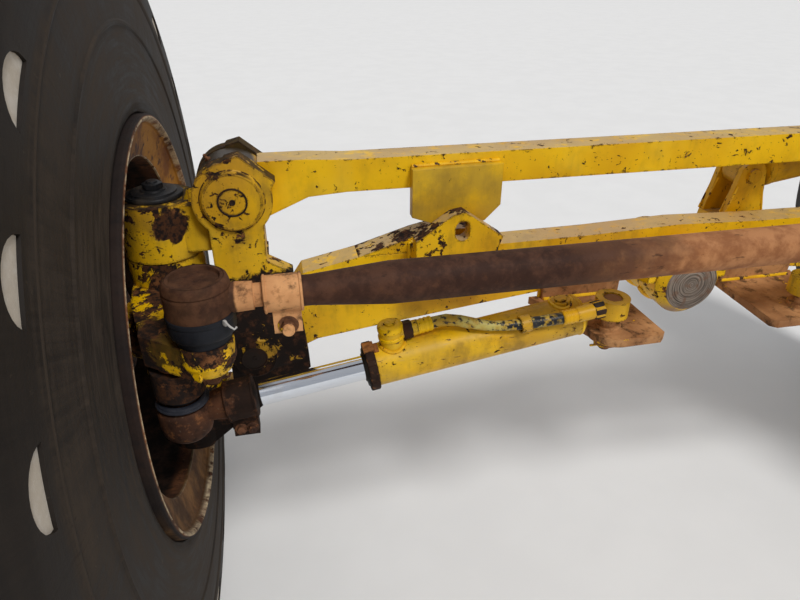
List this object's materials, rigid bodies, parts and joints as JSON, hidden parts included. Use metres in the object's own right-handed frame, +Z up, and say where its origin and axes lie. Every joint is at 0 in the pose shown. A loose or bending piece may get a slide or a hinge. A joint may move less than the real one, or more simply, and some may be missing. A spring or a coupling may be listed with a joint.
{
  "type": "motor grader front axle",
  "caption": "Steered, leaning front axle of a road grader: solid beam, pinned yokes and knuckles, tie rod, lean bar, steering and lean cylinders, hubs, rims and tyres.",
  "frame": {"origin": "middle of the centre pivot's bore, on which the axle oscillates under the frame", "axes": "+X towards the right-hand wheel, +Y forward along the pivot, +Z up; the wheel centres lie 30 mm below the origin"},
  "size_m": [2.456, 1.37, 1.37],
  "materials": {
    "yellow_steel": "worn yellow paint over steel plate, chipped and rusty",
    "yellow_cast": "worn yellow paint over castings, chipped and rusty",
    "rusty_steel": "rust with remains of yellow paint",
    "dark_steel": "dull, dirty",
    "black_steel": "black, dusty",
    "chrome": "plated rod with a film of dust",
    "rubber": "matt",
    "tyre": "dusty, worn"
  },
  "bodies": {
    "axle": {"axle_beam": "yellow_steel", "rear_pivot_boss": "yellow_steel", "front_pivot_boss": "yellow_steel", "lean_lock_bracket": "yellow_steel", "lean_cylinder_bracket": "yellow_steel", "left_base_bracket": "rusty_steel", "right_base_bracket": "rusty_steel"},
    "left_yoke": {"left_yoke": "yellow_cast", "left_upper_pin": "dark_steel", "left_lower_pin": "dark_steel", "left_kingpin": "black_steel"},
    "right_yoke": {"right_yoke": "yellow_cast", "right_upper_pin": "dark_steel", "right_lower_pin": "dark_steel", "right_kingpin": "black_steel"},
    "lean_bar": {"lean_bar": "yellow_steel", "lean_lock_plate": "yellow_steel", "lean_rod_eye": "dark_steel"},
    "left_knuckle": {"left_knuckle": "yellow_cast"},
    "right_knuckle": {"right_knuckle": "yellow_cast"},
    "left_wheel": {"left_hub": "yellow_cast", "left_rim": "rusty_steel", "left_tyre": "tyre"},
    "right_wheel": {"right_hub": "yellow_cast", "right_rim": "rusty_steel", "right_tyre": "tyre"},
    "left_tie_boot": {"left_tie_boot": "rubber"},
    "right_tie_boot": {"right_tie_boot": "rubber"},
    "tie_rod": {"left_tie_end": "rusty_steel", "tie_rod_tube": "rusty_steel"},
    "right_tie_end": {"right_tie_end": "rusty_steel"},
    "left_barrel": {"left_cylinder_barrel": "yellow_steel", "left_cylinder_gland": "rusty_steel", "left_hose": "rubber"},
    "right_barrel": {"right_cylinder_barrel": "yellow_steel", "right_cylinder_gland": "rusty_steel", "right_hose": "rubber"},
    "left_rod": {"left_cylinder_rod": "chrome"},
    "right_rod": {"right_cylinder_rod": "chrome"},
    "left_rod_boot": {"left_rod_boot": "rubber"},
    "right_rod_boot": {"right_rod_boot": "rubber"},
    "left_rod_end": {"left_rod_end": "dark_steel"},
    "right_rod_end": {"right_rod_end": "dark_steel"},
    "lean_barrel": {"lean_cylinder_barrel": "yellow_steel"},
    "lean_rod": {"lean_cylinder_rod": "chrome"}
  },
  "joints": [
    {"name": "lean", "type": "hinge", "parent": "axle", "child": "left_yoke", "pos_m": [-0.777, 0, -0.075], "axis": [0, 1, 0], "range_deg": [-18, 18]},
    {"name": "right_lean", "type": "hinge", "parent": "axle", "child": "right_yoke", "pos_m": [0.777, 0, -0.075], "axis": [0, 1, 0], "range_deg": [-18.5, 18.5]},
    {"name": "lean_bar_pivot", "type": "hinge", "parent": "left_yoke", "child": "lean_bar", "pos_m": [-0.777, 0, 0.201], "axis": [0, 1, 0], "range_deg": [-18.5, 18.5]},
    {"name": "steer", "type": "hinge", "parent": "left_yoke", "child": "left_knuckle", "pos_m": [-0.894, 0, -0.03], "axis": [0, 0, 1], "range_deg": [-45, 45]},
    {"name": "right_steer", "type": "hinge", "parent": "right_yoke", "child": "right_knuckle", "pos_m": [0.894, 0, -0.03], "axis": [0, 0, 1], "range_deg": [-45.5, 45.5]},
    {"name": "left_wheel_spin", "type": "hinge", "parent": "left_knuckle", "child": "left_wheel", "pos_m": [-1.06, 0, -0.03], "axis": [1, 0, 0], "continuous": true},
    {"name": "right_wheel_spin", "type": "hinge", "parent": "right_knuckle", "child": "right_wheel", "pos_m": [1.06, 0, -0.03], "axis": [1, 0, 0], "continuous": true},
    {"name": "left_tie_swivel", "type": "hinge", "parent": "left_knuckle", "child": "left_tie_boot", "pos_m": [-0.825, -0.21, 0.125], "axis": [0, 0, 1], "range_deg": [-49.01, 49.01]},
    {"name": "left_tie_tilt", "type": "hinge", "parent": "left_tie_boot", "child": "tie_rod", "pos_m": [-0.825, -0.21, 0.125], "axis": [0, 1, 0], "range_deg": [-17.15, 17.15]},
    {"name": "left_barrel_swing", "type": "hinge", "parent": "axle", "child": "left_barrel", "pos_m": [-0.188, -0.15, 0.01], "axis": [0, 1, 0], "range_deg": [-3.08, 3.08]},
    {"name": "left_rod_slide", "type": "slide", "parent": "left_barrel", "child": "left_rod", "axis": [-0.991, -0.0359, -0.1293], "range_m": [-0.1231, 0.1231]},
    {"name": "left_rod_swivel", "type": "hinge", "parent": "left_knuckle", "child": "left_rod_boot", "pos_m": [-0.878, -0.175, -0.08], "axis": [0, 0, 1], "range_deg": [-45.5, 45.5]},
    {"name": "left_rod_tilt", "type": "hinge", "parent": "left_rod_boot", "child": "left_rod_end", "pos_m": [-0.878, -0.175, -0.08], "axis": [0, 1, 0], "range_deg": [-15.92, 15.92]},
    {"name": "right_tie_swivel", "type": "hinge", "parent": "right_knuckle", "child": "right_tie_boot", "pos_m": [0.825, -0.21, 0.125], "axis": [0, 0, 1], "range_deg": [-49.01, 49.01]},
    {"name": "right_tie_tilt", "type": "hinge", "parent": "right_tie_boot", "child": "right_tie_end", "pos_m": [0.825, -0.21, 0.125], "axis": [0, 1, 0], "range_deg": [-17.15, 17.15]},
    {"name": "right_barrel_swing", "type": "hinge", "parent": "axle", "child": "right_barrel", "pos_m": [0.188, -0.15, 0.01], "axis": [0, 1, 0], "range_deg": [-3.08, 3.08]},
    {"name": "right_rod_slide", "type": "slide", "parent": "right_barrel", "child": "right_rod", "axis": [0.991, -0.0359, -0.1293], "range_m": [-0.1231, 0.1231]},
    {"name": "right_rod_swivel", "type": "hinge", "parent": "right_knuckle", "child": "right_rod_boot", "pos_m": [0.878, -0.175, -0.08], "axis": [0, 0, 1], "range_deg": [-45.5, 45.5]},
    {"name": "right_rod_tilt", "type": "hinge", "parent": "right_rod_boot", "child": "right_rod_end", "pos_m": [0.878, -0.175, -0.08], "axis": [0, 1, 0], "range_deg": [-15.92, 15.92]},
    {"name": "lean_cylinder_swing", "type": "hinge", "parent": "axle", "child": "lean_barrel", "pos_m": [0.185, 0.072, 0.148], "axis": [0, 1, 0], "range_deg": [-1.92, 1.92]},
    {"name": "lean_rod_slide", "type": "slide", "parent": "lean_barrel", "child": "lean_rod", "axis": [0.9879, 0, 0.1554], "range_m": [-0.0856, 0.0856]}
  ],
  "couplings": [
    {"joint": "right_lean", "follows": "lean", "ratio": 1},
    {"joint": "lean_bar_pivot", "follows": "lean", "ratio": -1},
    {"joint": "right_steer", "follows": "steer", "ratio": 1},
    {"joint": "left_tie_swivel", "follows": "steer", "ratio": -1.078},
    {"joint": "left_tie_tilt", "follows": "lean", "ratio": -0.925},
    {"joint": "left_barrel_swing", "follows": "lean", "ratio": 0.1434},
    {"joint": "left_rod_slide", "follows": "steer", "m_per_rad": -0.15552},
    {"joint": "left_rod_swivel", "follows": "steer", "ratio": -1},
    {"joint": "left_rod_tilt", "follows": "lean", "ratio": -0.8566},
    {"joint": "right_tie_swivel", "follows": "steer", "ratio": -1.078},
    {"joint": "right_tie_tilt", "follows": "lean", "ratio": -0.925},
    {"joint": "right_barrel_swing", "follows": "lean", "ratio": 0.1434},
    {"joint": "right_rod_slide", "follows": "steer", "m_per_rad": 0.15552},
    {"joint": "right_rod_swivel", "follows": "steer", "ratio": -1},
    {"joint": "right_rod_tilt", "follows": "lean", "ratio": -0.8566},
    {"joint": "lean_cylinder_swing", "follows": "lean", "ratio": 0.07901},
    {"joint": "lean_rod_slide", "follows": "lean", "m_per_rad": 0.26924}
  ]
}
